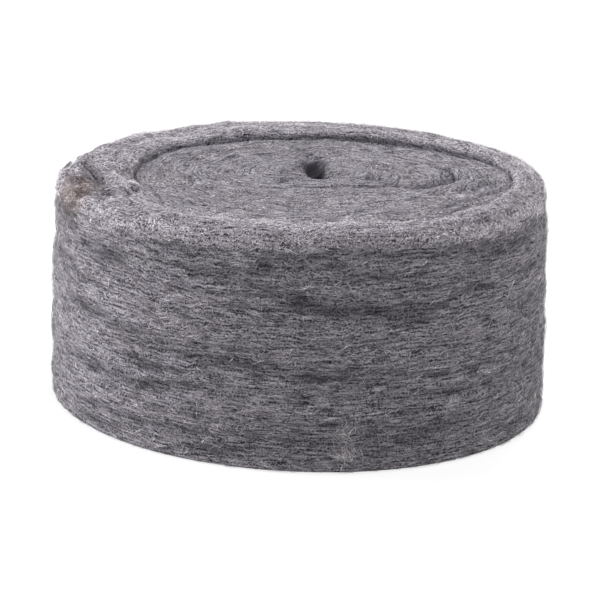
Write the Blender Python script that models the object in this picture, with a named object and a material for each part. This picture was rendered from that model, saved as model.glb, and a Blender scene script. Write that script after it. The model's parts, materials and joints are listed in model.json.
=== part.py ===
"""A roll of steel wool: one flat ribbon of wool wound on itself, standing on its end.

The ribbon is one solid. It starts at a small open core, which lies behind the middle of the
roll, and winds outwards clockwise as seen from above. The first turns are oval, and the later
ones are rounder. The last stretch is doubled up under itself, so it is a thick tail that
presses the turn below it inwards, and its torn end feathers out on the left of the roll. The
last turn stands proud of the turns inside it, but at the front its wool is felted to theirs. Soft
hollows and ridges on the top and the wall stand where the photo shows them.

Run with: blender --background --python part.py
Units are metres, +Z is up, and the roll stands on z = 0 with its axis near x = y = 0.
"""

import math

import bmesh
import bpy

# The roll and its ribbon
ROLL_RADIUS = 0.095
RIBBON_WIDTH = 0.090  # the height of the last turn, which is the roll's height
TURN_GAP = 0.0005  # between the faces of neighbouring turns
CORE_RADIUS = 0.0038
CORE_OFFSET = (0.004, 0.011)  # the core lies behind the middle of the roll
CORE_OVALITY = 0.34  # how much wider than round the first turn is, and how much less deep
LAST_TURN_OFFSET = (0.0045, -0.0035)  # the last turn is thinner at the front right than at the back left

# How the ribbon is wound
TIGHT_PITCH = 0.0075  # from turn to turn at the core
LOOSE_PITCH = 0.0140  # from turn to turn at the outside
LAST_TURN_THICKNESS = 0.0125

# The doubled tail
TAIL_END_ANGLE = math.radians(168)
TAIL_BULK_ANGLE = math.radians(192)  # where the tail is thickest
TAIL_BULK_REACH = math.radians(58)  # how far the bulk reaches each way
TAIL_BULK = 0.0105  # how much thicker than a single ribbon
TAIL_BULK_DECAY = 0.22  # how much of the dent each turn passes on to the next one inside
TAIL_FEATHER_REACH = math.radians(46)  # over which the torn end thins out
TAIL_END_THICKNESS = 0.0016
TAIL_RAMP = math.radians(4)  # over which the turn below comes out to the outline again

# The turns' top edges
DISH_DEPTH = 0.0036  # how far the inner turns lie below the last one
CROWN_RISE = 0.0014  # how far they rise again towards the core
FELTED_RISE = 0.75  # how much of the dish's depth the felted front makes up for at the last groove
FELTED_MIDDLE = math.radians(295)  # the direction in which the top is felted over
FELTED_START = 0.5  # of the roll's radius, from where the felted front rises
FELTED_RUN = 0.35  # of the roll's radius, over which it rises
EDGE_REACH = 0.0038  # how far across a turn its rounded top edge goes
EDGE_DROP = 0.0026  # and how far down where the groove is open
OPEN_GROOVE = 0.75  # how open the last turn's groove is at the back
RIGHT_GROOVES = 0.55  # and how open the next few grooves are on the right
FELTED_GROOVE = 0.2  # and all the others
RIM_RADIUS = 0.0075  # of the last turn's outer top edge
THIN_END_SHARE = 0.6  # of a thin end's thickness, from the outside, where its top meets the rim's curve
FOOT_RADIUS = 0.0022  # of the bottom edges
EDGE_MOST = 0.47  # of a thin ribbon's thickness that one top edge takes up
FOOT_MOST = 0.4  # and that one bottom edge does
RIM_BLEND = math.radians(40)  # under the tail, over which a turn's edge rises into the rim
RIM_ROUNDING_BLEND = math.radians(12)  # and over which it takes the rim's rounding

# The wall
FOOT_FLARE = 0.0020  # how far the bottom spreads under the roll's weight
WALL_BULGE = 0.0008
LEAN = math.radians(1.2)  # the wind leans to the left, and its top slopes that way

# Soft hollows, and ridges with a depth below zero: a line with a few bends, its reach to each side and
# its depth. On top the bends are (x, y), and on the wall (distance to the right of the front, height).
TOP_FORMS = (
    (((0.0059, 0.0020), (0.0030, 0.0110), (0.0010, 0.0230)), 0.0070, 0.0050),
    (((0.0270, -0.0010), (0.0425, -0.0110), (0.0500, -0.0060), (0.0600, 0.0080)), 0.0056, 0.0040),
    (((0.0595, -0.0185), (0.0721, -0.0075)), 0.0034, 0.0024),
    (((-0.0870, 0.0085), (-0.0798, -0.0135)), 0.0034, 0.0040),
    (((-0.0798, -0.0135), (-0.0717, -0.0276), (-0.0645, -0.0426)), 0.0030, 0.0024),
    (((-0.0811, 0.0080), (-0.0747, -0.0130), (-0.0640, -0.0350)), 0.0032, -0.0020),
    (((-0.0880, -0.0200), (-0.0850, -0.0400)), 0.0070, 0.0016),
)
WALL_FORMS = (
    (((-0.0830, 0.0690), (-0.0600, 0.0735)), 0.0040, 0.0020),
    (((-0.0534, 0.0738), (-0.0252, 0.0714), (0.0003, 0.0660)), 0.0036, 0.0012),
    (((-0.0120, 0.0785), (0.0150, 0.0795)), 0.0050, 0.0010),
    (((0.0166, 0.0815), (0.0538, 0.0790), (0.1080, 0.0745)), 0.0046, 0.0014),
    (((0.0010, 0.0622), (0.0265, 0.0600), (0.0530, 0.0566)), 0.0046, 0.0015),
)

# How finely the shape is divided
CHORD_ERROR = 0.0002
FEATURE_STEP = math.radians(3)  # along the ramp and the feathered end
CORNER_STEPS = 3
RIM_STEPS = 4
FOOT_STEPS = 2
WALL_LEVELS = (0.25, 0.46, 0.60, 0.70, 0.78, 0.86, 0.93)  # of the straight wall's height

WOOL_COLOUR = (0.24, 0.23, 0.245, 1.0)
WOOL_ROUGHNESS = 0.62
WOOL_METALLIC = 0.9

FULL_TURN = 2 * math.pi
OUTER_GROOVE_RADIUS = ROLL_RADIUS - LAST_TURN_THICKNESS
TURNS = (OUTER_GROOVE_RADIUS - CORE_RADIUS) / ((TIGHT_PITCH + LOOSE_PITCH) / 2)


def smooth(value):
    """0 up to value 0, 1 from value 1 on, and an eased curve between."""
    t = min(max(value, 0.0), 1.0)
    return t * t * (3 - 2 * t)


def angle_of(turn):
    """The direction of a point that many turns along the ribbon. It falls as the ribbon winds outwards."""
    return TAIL_END_ANGLE + FULL_TURN * (TURNS - turn)


def bulk_share(turn):
    """1 where the doubled tail is thickest, falling to 0 at the ends of its bulk."""
    away = math.remainder(angle_of(turn) - TAIL_BULK_ANGLE, FULL_TURN)
    return 1 - smooth(abs(away) / TAIL_BULK_REACH)


def tail_dent(turn):
    """How far the doubled tail presses the boundary at this turn inwards."""
    return TAIL_BULK * bulk_share(turn) * TAIL_BULK_DECAY ** max(TURNS - turn, 0.0)


def feather(turn):
    """0 along the ribbon, rising to 1 at its torn end."""
    return smooth(1 - (TURNS - turn) * FULL_TURN / TAIL_FEATHER_REACH)


def boundary_radius(turn):
    """The radius, about the wind's own centre, of the boundary between one turn and the next."""
    wound = CORE_RADIUS + TIGHT_PITCH * turn + (LOOSE_PITCH - TIGHT_PITCH) * turn**2 / (2 * TURNS)
    pressed = wound - tail_dent(turn)
    end = ROLL_RADIUS - TAIL_END_THICKNESS
    return pressed + (end - pressed) * feather(turn)


def wind_centre(turn):
    """The point (x, y) that the ribbon is wound around at this turn. The torn end's is the roll's middle."""
    along = turn / TURNS
    last = along * (1 - feather(turn))
    return tuple(core * (1 - along) + outer * last for core, outer in zip(CORE_OFFSET, LAST_TURN_OFFSET))


def boundary(turn):
    """The point (x, y) on the boundary below this turn of the ribbon."""
    radius, angle, centre = boundary_radius(turn), angle_of(turn), wind_centre(turn)
    oval = CORE_OVALITY * (1 - turn / TURNS)
    x = centre[0] + radius * (1 + oval) * math.cos(angle)
    y = centre[1] + radius * (1 - oval) * math.sin(angle)
    return x, y


def outer_face(turn):
    """The point (x, y) on the ribbon's outer face, and how much of that face is the roll's wall, 0 to 1."""
    if turn + 1 <= TURNS:
        return boundary(turn + 1), 0.0
    past_tail = (turn + 1 - TURNS) * FULL_TURN
    out = smooth(past_tail / TAIL_RAMP)
    end = boundary_radius(TURNS)
    radius = end + (ROLL_RADIUS - end) * out
    angle = angle_of(turn)
    return (radius * math.cos(angle), radius * math.sin(angle)), out


def rim_share(turn, blend):
    """0 on an inner turn, rising over the blend to 1 where the turn comes out from under the tail."""
    past_tail = (turn + 1 - TURNS) * FULL_TURN
    return smooth(1 + past_tail / blend)


def felted(angle):
    """0 at the back and the left, rising to 1 at the front and the right, where the top is felted over."""
    return smooth((math.cos(angle - FELTED_MIDDLE) + 0.10) / 0.35)


def top_height(turn, x, y):
    """The height of the ribbon's top edge."""
    share = math.hypot(x, y) / ROLL_RADIUS
    bank = FELTED_RISE * felted(math.atan2(y, x)) * smooth((share - FELTED_START) / FELTED_RUN)
    inner = RIBBON_WIDTH - DISH_DEPTH * (1 - bank) + CROWN_RISE * (1 - min(share, 1.0) ** 2)
    return inner + (RIBBON_WIDTH - inner) * rim_share(turn, RIM_BLEND)


def groove_share(turn):
    """How open the groove below this turn is, from 0 to 1. Under the tail's end it is closed again."""
    angle = angle_of(turn)
    last = smooth((turn - TURNS + 1.22) / 0.12) * (1 - smooth((turn - TURNS + 0.17) / 0.04))
    right = smooth((turn - TURNS + 3.4) / 0.4) * smooth((math.cos(angle + 0.35) - 0.5) / 0.35)
    return max(OPEN_GROOVE * last * (1 - felted(angle)), RIGHT_GROOVES * right, FELTED_GROOVE)


def form_rise(forms, place):
    """The height that soft hollows and ridges add at a place: all of it on their lines, easing to 0."""
    total = 0.0
    for line, reach, depth in forms:
        nearest = reach
        for start, end in zip(line, line[1:]):
            run = (end[0] - start[0], end[1] - start[1])
            off = (place[0] - start[0], place[1] - start[1])
            share = (off[0] * run[0] + off[1] * run[1]) / (run[0] ** 2 + run[1] ** 2)
            share = min(max(share, 0.0), 1.0)
            nearest = min(nearest, math.hypot(off[0] - share * run[0], off[1] - share * run[1]))
        total -= depth * (1 - smooth(nearest / reach))
    return total


def corner(centre, reach, start, steps):
    """Points on a quarter of an ellipse, from the angle start onwards."""
    points = []
    for i in range(steps + 1):
        angle = start + math.pi / 2 * i / steps
        points.append((centre[0] + reach[0] * math.cos(angle), centre[1] + reach[1] * math.sin(angle)))
    return points


def section(thickness, full_height, wall_share, rounding, edge_drops, to_right):
    """The ribbon's section: how far across from its inner face, and how high. The outline runs up the
    outer face and back down the inner one. A thin end lies against the rounded rim, so it is lower."""
    to_rim = RIM_RADIUS - min(THIN_END_SHARE * thickness, RIM_RADIUS)
    lowered = rounding * (RIM_RADIUS - math.sqrt(RIM_RADIUS**2 - to_rim**2))
    height = full_height - lowered
    foot = min(FOOT_RADIUS, FOOT_MOST * thickness)
    edge_reach, edge_drop = min(EDGE_REACH, EDGE_MOST * thickness), edge_drops[0]
    rim_reach = min(EDGE_REACH + (RIM_RADIUS - EDGE_REACH) * rounding, 2 * EDGE_MOST * thickness - edge_reach)
    rim_drop = edge_drops[1] + (RIM_RADIUS - edge_drops[1]) * rounding - lowered
    points = corner((thickness - foot, foot), (foot, foot), -math.pi / 2, FOOT_STEPS)
    for level in WALL_LEVELS:
        points.append((thickness, foot + (height - rim_drop - foot) * level))
    points += corner((thickness - rim_reach, height - rim_drop), (rim_reach, rim_drop), 0, RIM_STEPS)
    points += corner((edge_reach, height - edge_drop), (edge_reach, edge_drop), math.pi / 2, CORNER_STEPS)
    points += corner((foot, foot), (foot, foot), math.pi, FOOT_STEPS)
    swollen = []
    for across, z in points:
        up = z / height
        swell = FOOT_FLARE * (1 - up) + WALL_BULGE * math.sin(math.pi * up)
        swell += form_rise(WALL_FORMS, (to_right, z))
        swollen.append((across + wall_share * swell * across / thickness, z))
    return swollen


def settled(x, y, z):
    """The point after the whole wind leans to the left, and its top sinks into its hollows. The bottom
    stays flat on z = 0."""
    slope = math.tan(LEAN)
    x, z = x - slope * z, z * (1 + slope * x / RIBBON_WIDTH)
    return x, y, z * (1 + form_rise(TOP_FORMS, (x, y)) / RIBBON_WIDTH)


def ring(turn):
    """The points of the section at this turn, in their place in the roll."""
    inner = boundary(turn)
    outer, wall_share = outer_face(turn)
    across = (outer[0] - inner[0], outer[1] - inner[1])
    span = math.hypot(*across)
    towards = (across[0] / span, across[1] / span)
    thickness = span - TURN_GAP / 2 - TURN_GAP / 2 * (1 - wall_share)
    middle = ((inner[0] + outer[0]) / 2, (inner[1] + outer[1]) / 2)
    height, rounding = top_height(turn, *middle), rim_share(turn, RIM_ROUNDING_BLEND)
    edge_drops = (EDGE_DROP * groove_share(turn), EDGE_DROP * groove_share(turn + 1))
    to_right = ROLL_RADIUS * math.atan2(outer[0], -outer[1])
    points = []
    for distance, z in section(thickness, height, wall_share, rounding, edge_drops, to_right):
        reach = distance + TURN_GAP / 2
        points.append(settled(inner[0] + towards[0] * reach, inner[1] + towards[1] * reach, z))
    return points


def stations():
    """Where sections stand along the ribbon, in turns, from the core to the torn end."""
    found = [0.0]
    while found[-1] < TURNS:
        turn = found[-1]
        outer, _ = outer_face(turn)
        step = 2 * math.sqrt(2 * CHORD_ERROR / max(math.hypot(*outer), CORE_RADIUS + TIGHT_PITCH))
        past_tail = (turn + 1 - TURNS) * FULL_TURN
        to_end = (TURNS - turn) * FULL_TURN
        if -FEATURE_STEP < past_tail < TAIL_RAMP or to_end < TAIL_FEATHER_REACH:
            step = min(step, FEATURE_STEP)
        found.append(turn + step / FULL_TURN)
    found[-1] = TURNS
    return found


def loft(name, rings):
    """A closed mesh through rings of points, with a flat cap at each end."""
    shape = bmesh.new()
    loops = [[shape.verts.new(point) for point in points] for points in rings]
    for here, there in zip(loops, loops[1:]):
        for i in range(len(here)):
            j = (i + 1) % len(here)
            shape.faces.new((here[i], there[i], there[j], here[j]))
    shape.faces.new(loops[0])
    shape.faces.new(reversed(loops[-1]))
    bmesh.ops.recalc_face_normals(shape, faces=shape.faces[:])
    mesh = bpy.data.meshes.new(name)
    shape.to_mesh(mesh)
    shape.free()
    return mesh


def wool_material():
    """Grey steel wool: a dull metal with no clear reflection."""
    material = bpy.data.materials.new("steel_wool")
    material.use_nodes = True
    shader = material.node_tree.nodes["Principled BSDF"]
    shader.inputs["Base Color"].default_value = WOOL_COLOUR
    shader.inputs["Roughness"].default_value = WOOL_ROUGHNESS
    shader.inputs["Metallic"].default_value = WOOL_METALLIC
    return material


def clear_scene():
    for obj in list(bpy.data.objects):
        bpy.data.objects.remove(obj, do_unlink=True)


def main():
    clear_scene()
    collection = bpy.data.collections.new("steel_wool_roll")
    bpy.context.scene.collection.children.link(collection)
    mesh = loft("wool_ribbon", [ring(turn) for turn in stations()])
    mesh.shade_smooth()
    mesh.set_sharp_from_angle(angle=math.radians(50))
    ribbon = bpy.data.objects.new("wool_ribbon", mesh)
    ribbon.data.materials.append(wool_material())
    collection.objects.link(ribbon)


main()
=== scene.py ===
"""The look of a roll of steel wool: the ribbon's shape in fine relief, with the wool's fibres laid on it.

The wool body repeats the ribbon's winding from the CAD source as whole numpy arrays and adds
the hollows and bundles of the wool. The fibres are thin closed tubes that run along the body's
surface, so the streaks, the fuzz and the stained fold are geometry.
"""

import enum
import json
import logging
import math
from dataclasses import dataclass, field

import bpy
import numpy as np
from mathutils import Matrix, Vector

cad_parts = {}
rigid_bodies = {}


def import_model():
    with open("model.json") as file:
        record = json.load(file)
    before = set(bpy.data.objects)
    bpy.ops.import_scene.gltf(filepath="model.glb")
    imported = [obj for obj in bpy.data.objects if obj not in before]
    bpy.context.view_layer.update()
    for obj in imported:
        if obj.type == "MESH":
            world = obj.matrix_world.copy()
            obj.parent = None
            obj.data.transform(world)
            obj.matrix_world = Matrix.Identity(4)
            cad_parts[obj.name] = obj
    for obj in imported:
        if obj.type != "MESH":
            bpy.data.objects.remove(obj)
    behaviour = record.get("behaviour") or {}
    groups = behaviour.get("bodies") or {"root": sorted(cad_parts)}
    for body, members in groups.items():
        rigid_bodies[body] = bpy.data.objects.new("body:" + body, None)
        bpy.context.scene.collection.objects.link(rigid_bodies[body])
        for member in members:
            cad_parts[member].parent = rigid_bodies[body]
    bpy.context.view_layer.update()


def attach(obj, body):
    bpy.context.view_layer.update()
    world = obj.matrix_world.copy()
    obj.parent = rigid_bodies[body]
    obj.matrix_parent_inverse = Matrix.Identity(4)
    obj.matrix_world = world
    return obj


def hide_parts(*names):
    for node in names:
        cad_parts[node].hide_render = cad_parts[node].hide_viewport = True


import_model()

LOG = logging.getLogger("steel_wool_roll")
FULL_TURN = 2 * math.pi
BAKE_MAP = "OFBake"  # the map that colours are baked on: here a fibre's length and its own shade
RUN_MAP = "wool_run"  # lengths along the ribbon and around its section, in metres

Span = tuple[float, float]
Triple = tuple[float, float, float]
Pair = tuple[np.ndarray, np.ndarray]


class Zone(enum.Enum):
    """Where on the roll a layer of fibres lies."""

    WALL = "wall"
    RIM = "rim"
    TAIL = "tail"
    TUFT = "tuft"
    UNDERSIDE = "underside"
    MIDDLE = "middle"


def smooth(value: np.ndarray) -> np.ndarray:
    """Eases from 0 at value 0 to 1 at value 1, as 3 t squared less 2 t cubed."""
    t = np.clip(value, 0.0, 1.0)
    return t * t * (3 - 2 * t)


def lattice_noise(x: np.ndarray, y: np.ndarray, seed: int) -> np.ndarray:
    """Smooth noise: a scrambled number at each whole-number point, blended between the four nearest ones.

    Args:
        x: First coordinate, in cells of the lattice.
        y: Second coordinate, in cells of the lattice.
        seed: Which lattice of numbers to use.

    Returns:
        Values between -1 and 1, in the shape of x and y.
    """
    cell_x, cell_y = np.floor(x).astype(np.int64), np.floor(y).astype(np.int64)
    across, along = x - cell_x, y - cell_y
    across = across**3 * (across * (across * 6 - 15) + 10)
    along = along**3 * (along * (along * 6 - 15) + 10)

    def corner(step_x: int, step_y: int) -> np.ndarray:
        """The number at one corner of each cell: its place times large odd numbers, with the bits mixed."""
        mixed = (cell_x + step_x) * 73856093 ^ (cell_y + step_y) * 19349663 ^ (seed + 11) * 83492791
        mixed = ((mixed ^ (mixed >> 13)) * 1274126177) & 0xFFFFFFFF
        mixed = ((mixed ^ (mixed >> 16)) * 668265263) & 0xFFFFFFFF
        return (mixed >> 8 & 0xFFFF) / 32767.5 - 1

    low = corner(0, 0) * (1 - across) + corner(1, 0) * across
    high = corner(0, 1) * (1 - across) + corner(1, 1) * across
    return low * (1 - along) + high * along


@dataclass(frozen=True)
class Ripple:
    """Smooth noise of one size.

    Args:
        height: The most that it adds or takes away.
        long: Length of a cell along the first coordinate, in metres.
        wide: Length of a cell along the second coordinate, in metres.
        seed: Which lattice of numbers to use.
    """

    height: float
    long: float
    wide: float
    seed: int

    def at(self, x: np.ndarray, y: np.ndarray) -> np.ndarray:
        """The noise at these places, in metres, times its height."""
        return self.height * lattice_noise(x / self.long, y / self.wide, self.seed)


def unit(vectors: np.ndarray) -> np.ndarray:
    """The vectors with length 1."""
    return vectors / np.maximum(np.linalg.norm(vectors, axis=-1, keepdims=True), 1e-12)


def mesh_object(
    name: str, points: np.ndarray, corners: np.ndarray, maps: dict[str, np.ndarray]
) -> bpy.types.Object:
    """Makes an object of triangles from whole arrays.

    Args:
        name: The object's name.
        points: Vertex places in metres, one row each.
        corners: Vertex numbers of each triangle, one row of three each.
        maps: UV maps by name, with one row for each triangle's corner in turn.

    Returns:
        The object, smooth shaded, at the origin and linked to the scene.
    """
    mesh = bpy.data.meshes.new(name)
    mesh.vertices.add(len(points))
    mesh.vertices.foreach_set("co", points.astype(np.float32).ravel())
    mesh.loops.add(corners.size)
    mesh.loops.foreach_set("vertex_index", corners.astype(np.int32).ravel())
    mesh.polygons.add(len(corners))
    mesh.polygons.foreach_set("loop_start", np.arange(0, corners.size, 3, dtype=np.int32))
    mesh.polygons.foreach_set("loop_total", np.full(len(corners), 3, np.int32))
    mesh.polygons.foreach_set("use_smooth", np.ones(len(corners), bool))
    mesh.update(calc_edges=True)
    for map_name, places in maps.items():
        layer = mesh.uv_layers.new(name=map_name, do_init=False)
        layer.uv.foreach_set("vector", places.astype(np.float32).ravel())
    made = bpy.data.objects.new(name, mesh)
    bpy.context.scene.collection.objects.link(made)
    return made


@dataclass(frozen=True)
class Winding:
    """The ribbon's winding, with the sizes and the formulas of the CAD source, in metres and radians."""

    roll_radius: float = 0.095
    ribbon_width: float = 0.090  # the height of the last turn, which is the roll's height
    turn_gap: float = 0.00012  # narrower than the CAD's, because fibres fill it
    core_radius: float = 0.0038
    core_offset: Span = (0.004, 0.011)  # the core lies behind the middle of the roll
    core_ovality: float = 0.34  # how much wider than round the first turn is, and how much less deep
    last_turn_offset: Span = (0.0045, -0.0035)
    tight_pitch: float = 0.0075  # from turn to turn at the core
    loose_pitch: float = 0.0140  # from turn to turn at the outside
    last_turn_thickness: float = 0.0125
    tail_end_angle: float = math.radians(168)
    tail_bulk_angle: float = math.radians(192)  # where the doubled tail is thickest
    tail_bulk_reach: float = math.radians(58)  # how far the bulk reaches each way
    tail_bulk: float = 0.0105  # how much thicker than a single ribbon
    tail_bulk_decay: float = 0.22  # how much of the dent each turn passes on to the next one inside
    tail_feather_reach: float = math.radians(46)  # over which the torn end thins out
    tail_end_thickness: float = 0.0016
    tail_ramp: float = math.radians(4)  # over which the turn below comes out to the outline again
    dish_depth: float = 0.0036  # how far the inner turns lie below the last one
    crown_rise: float = 0.0014  # how far they rise again towards the core
    felted_rise: float = 0.75  # how much of the dish's depth the felted front makes up for
    felted_middle: float = math.radians(295)  # the direction in which the top is felted over
    felted_start: float = 0.5  # of the roll's radius, from where the felted front rises
    felted_run: float = 0.35  # of the roll's radius, over which it rises
    edge_reach: float = 0.0038  # how far across a turn its rounded top edge goes
    edge_drop: float = 0.0026  # and how far down where the groove is open
    open_groove: float = 0.75  # how open the last turn's groove is at the back
    right_grooves: float = 0.55  # and how open the next few are on the right
    felted_groove: float = 0.2  # and all the others
    rim_radius: float = 0.0075  # of the last turn's outer top edge
    thin_end_share: float = 0.6  # of a thin end's thickness, where its top meets the rim's curve
    foot_radius: float = 0.0022  # of the bottom edges
    edge_most: float = 0.47  # of a thin ribbon's thickness that one top edge takes up
    foot_most: float = 0.4  # and that one bottom edge does
    rim_blend: float = math.radians(40)  # under the tail, over which a turn's edge rises into the rim
    rim_rounding_blend: float = math.radians(12)  # and over which it takes the rim's rounding
    foot_flare: float = 0.0020  # how far the bottom spreads under the roll's weight
    wall_bulge: float = 0.0008
    lean: float = math.radians(1.2)  # the wind leans to the left, and its top slopes that way

    @property
    def turns(self) -> float:
        """How many turns the ribbon makes."""
        groove = self.roll_radius - self.last_turn_thickness
        return (groove - self.core_radius) / ((self.tight_pitch + self.loose_pitch) / 2)

    def angle(self, turn: np.ndarray) -> np.ndarray:
        """The direction of a point that many turns along, which falls as the ribbon winds outwards."""
        return self.tail_end_angle + FULL_TURN * (self.turns - turn)

    def past_tail(self, turn: np.ndarray) -> np.ndarray:
        """How far, in radians, the ribbon's outer side has come out from under the tail's end."""
        return (turn + 1 - self.turns) * FULL_TURN

    def bulk_share(self, turn: np.ndarray) -> np.ndarray:
        """1 where the doubled tail is thickest, falling to 0 at the ends of its bulk."""
        away = (self.angle(turn) - self.tail_bulk_angle + math.pi) % FULL_TURN - math.pi
        return 1 - smooth(np.abs(away) / self.tail_bulk_reach)

    def feather(self, turn: np.ndarray) -> np.ndarray:
        """0 along the ribbon, rising to 1 at its torn end."""
        return smooth(1 - (self.turns - turn) * FULL_TURN / self.tail_feather_reach)

    def boundary_radius(self, turn: np.ndarray) -> np.ndarray:
        """The radius, about the wind's own centre, of the boundary between one turn and the next.

        Args:
            turn: How far along the ribbon, in turns.

        Returns:
            The core's radius, plus a pitch that widens evenly, less the dent that the tail presses,
            drawn out to the outline at the feathered end.
        """
        widening = (self.loose_pitch - self.tight_pitch) * turn**2 / (2 * self.turns)
        turns_below = np.maximum(self.turns - turn, 0)
        dent = self.tail_bulk * self.bulk_share(turn) * self.tail_bulk_decay**turns_below
        pressed = self.core_radius + self.tight_pitch * turn + widening - dent
        end = self.roll_radius - self.tail_end_thickness
        return pressed + (end - pressed) * self.feather(turn)

    def boundary(self, turn: np.ndarray) -> np.ndarray:
        """The points (x, y) on the boundary below each turn.

        Args:
            turn: How far along the ribbon, in turns.

        Returns:
            An array with x and y in its last axis: the wind's centre, which wanders from the core
            to the last turn, plus an oval that grows rounder.
        """
        along = turn / self.turns
        last = along * (1 - self.feather(turn))
        radius, angle = self.boundary_radius(turn), self.angle(turn)
        oval = self.core_ovality * (1 - along)
        x = self.core_offset[0] * (1 - along) + self.last_turn_offset[0] * last
        y = self.core_offset[1] * (1 - along) + self.last_turn_offset[1] * last
        wide, deep = radius * (1 + oval), radius * (1 - oval)
        return np.stack([x + wide * np.cos(angle), y + deep * np.sin(angle)], -1)

    def outer_face(self, turn: np.ndarray) -> Pair:
        """The ribbon's outer side: the next boundary, or the roll's own wall on the last turn.

        Args:
            turn: How far along the ribbon, in turns.

        Returns:
            The points (x, y), and how much of the side is the roll's wall, from 0 to 1.
        """
        covered = turn + 1 <= self.turns
        under = self.boundary(np.minimum(turn + 1, self.turns))
        out = smooth(self.past_tail(turn) / self.tail_ramp)
        end = float(self.boundary_radius(np.array(self.turns)))
        radius, angle = end + (self.roll_radius - end) * out, self.angle(turn)
        wall = np.stack([radius * np.cos(angle), radius * np.sin(angle)], -1)
        return np.where(covered[..., None], under, wall), np.where(covered, 0.0, out)

    def felted(self, angle: np.ndarray) -> np.ndarray:
        """0 at the back and the left, rising to 1 at the front and the right, where the top is felted."""
        return smooth((np.cos(angle - self.felted_middle) + 0.10) / 0.35)

    def inner_height(self, x: np.ndarray, y: np.ndarray) -> np.ndarray:
        """The height of the inner turns: a dish with a low crown, filled up towards the felted front.

        Args:
            x: Distance to the right of the roll's middle, in metres.
            y: Distance behind it.

        Returns:
            The ribbon's width, less the dish's depth where the front doesn't fill it, plus a crown
            that falls with the square of the radius.
        """
        share = np.hypot(x, y) / self.roll_radius
        bank = self.felted_rise * self.felted(np.arctan2(y, x))
        bank = bank * smooth((share - self.felted_start) / self.felted_run)
        crown = self.crown_rise * (1 - np.minimum(share, 1) ** 2)
        return self.ribbon_width - self.dish_depth * (1 - bank) + crown

    def top_height(self, turn: np.ndarray, x: np.ndarray, y: np.ndarray) -> np.ndarray:
        """The height of the ribbon's top edge, which rises to the full width under the tail."""
        inner = self.inner_height(x, y)
        return inner + (self.ribbon_width - inner) * smooth(1 + self.past_tail(turn) / self.rim_blend)

    def groove_share(self, turn: np.ndarray) -> np.ndarray:
        """How open the groove below each turn is, from 0, felted over, to 1.

        Args:
            turn: How far along the ribbon, in turns.

        Returns:
            The most for the groove inside the last turn, which closes at the front and under the
            tail's end, and less for the next few grooves on the right.
        """
        angle = self.angle(turn)
        last = smooth((turn - self.turns + 1.22) / 0.12) * (1 - smooth((turn - self.turns + 0.17) / 0.04))
        right = smooth((turn - self.turns + 3.4) / 0.4) * smooth((np.cos(angle + 0.35) - 0.5) / 0.35)
        most = np.maximum(self.open_groove * last * (1 - self.felted(angle)), self.right_grooves * right)
        return np.maximum(most, self.felted_groove)

    def leaning(self, points: np.ndarray) -> np.ndarray:
        """The points after the whole wind leans to the left.

        Args:
            points: Places with x, y, z in the last axis.

        Returns:
            The places with x less the slope times z, and the top sloped to match.
        """
        slope = math.tan(self.lean)
        x, y, z = points[..., 0], points[..., 1], points[..., 2]
        return np.stack([x - slope * z, y, z * (1 + slope * x / self.ribbon_width)], -1)


@dataclass(frozen=True)
class Crease:
    """A soft trough or ridge along a line with a few bends.

    Args:
        line: The bends, in metres: (x, y) on top of the roll, and (distance to the right of the
            front, height) on its wall.
        reach: How far it reaches to each side, in metres.
        depth: How deep it is, in metres. A ridge has a depth below zero.
    """

    line: tuple[Span, ...]
    reach: float
    depth: float

    FRAY = Ripple(0.3, 0.0060, 0.0022, 50)  # how unevenly its sides run
    PATCHES = Ripple(0.25, 0.0200, 0.0040, 51)  # how unevenly deep it is
    LEAST_PATCH = 0.85

    def share(self, places: np.ndarray) -> np.ndarray:
        """1 on the line, easing unevenly to 0 about its reach, and a little deeper in some places.

        Args:
            places: Pairs of coordinates on the crease's side of the roll, in metres.

        Returns:
            The share of its depth at each place: the eased distance to the nearest stretch.
        """
        x, y = places[..., 0], places[..., 1]
        nearest = np.full(places.shape[:-1], np.inf)
        for start, end in zip(self.line, self.line[1:]):
            first, run = np.array(start), np.array(end) - np.array(start)
            share = np.clip(((places - first) @ run) / (run @ run), 0, 1)
            nearest = np.minimum(nearest, np.linalg.norm(places - first - share[..., None] * run, axis=-1))
        nearest = nearest * (1 + self.FRAY.at(x, y))
        return (1 - smooth(nearest / self.reach)) * (self.LEAST_PATCH + self.PATCHES.at(x, y))


@dataclass(frozen=True)
class Forms:
    """The soft hollows and ridges on one side of the roll, where the photograph shows them."""

    # The troughs also darken the wool's colour as painted shade, and the ridges lighten its fibres as painted
    # light.
    creases: tuple[Crease, ...]

    DEEPEST = 0.0030  # of a trough whose painted shade is fully dark, in metres
    HIGHEST = 0.0025  # of a ridge whose painted light is fullest
    RIDGE_SHARE = 0.28  # how much a ridge's painted light counts beside a trough's painted shade

    def rise(self, places: np.ndarray) -> np.ndarray:
        """The height that all of them add at each place, in metres."""
        return -sum(crease.depth * crease.share(places) for crease in self.creases)

    def shade(self, places: np.ndarray) -> np.ndarray:
        """How much painted shade each place takes, by how deep in the wool it lies.

        Args:
            places: Pairs of coordinates on the forms' side of the roll, in metres.

        Returns:
            Up to 1, painted shade, in the middle of a deep trough, and below 0, painted light, on a ridge.
        """
        troughs = [crease for crease in self.creases if crease.depth > 0]
        ridges = [crease for crease in self.creases if crease.depth < 0]
        deep = [np.clip(crease.depth / self.DEEPEST, 0, 1) * crease.share(places) ** 2 for crease in troughs]
        high = [np.clip(-crease.depth / self.HIGHEST, 0, 1) * crease.share(places) for crease in ridges]
        return np.max(deep, axis=0) - self.RIDGE_SHARE * np.max(high, axis=0)


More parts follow.
